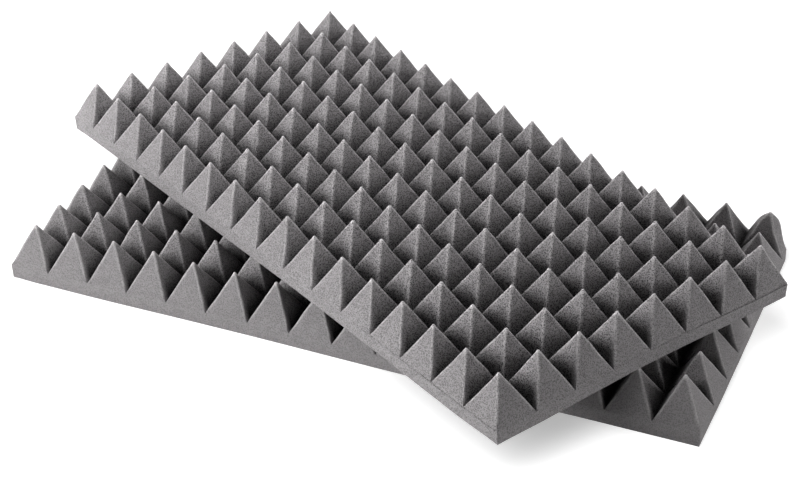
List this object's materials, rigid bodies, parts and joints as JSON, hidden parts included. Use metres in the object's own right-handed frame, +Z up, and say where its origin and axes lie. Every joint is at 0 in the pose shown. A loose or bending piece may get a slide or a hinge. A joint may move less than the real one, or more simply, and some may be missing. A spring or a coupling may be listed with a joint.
{
  "type": "acoustic foam panel",
  "caption": "Charcoal open-cell acoustic foam panels with a pyramid relief, laid loosely across each other at an angle, for absorbing echo in a room.",
  "frame": {"origin": "middle of the lower panel's flat back, which lies on the floor", "axes": "+X along the lower panel's long side, +Y along its short side, +Z up out of its pyramids"},
  "size_m": [1.1195, 0.9232, 0.1503],
  "materials": {
    "foam": "matte"
  },
  "bodies": {
    "lower": {"lower_panel": "foam"},
    "upper": {"upper_panel": "foam"}
  },
  "joints": [
    {"name": "upper_lift", "type": "slide", "parent": "lower", "child": "upper", "axis": [0, 0, 1], "range_m": [0, 0.2]}
  ]
}
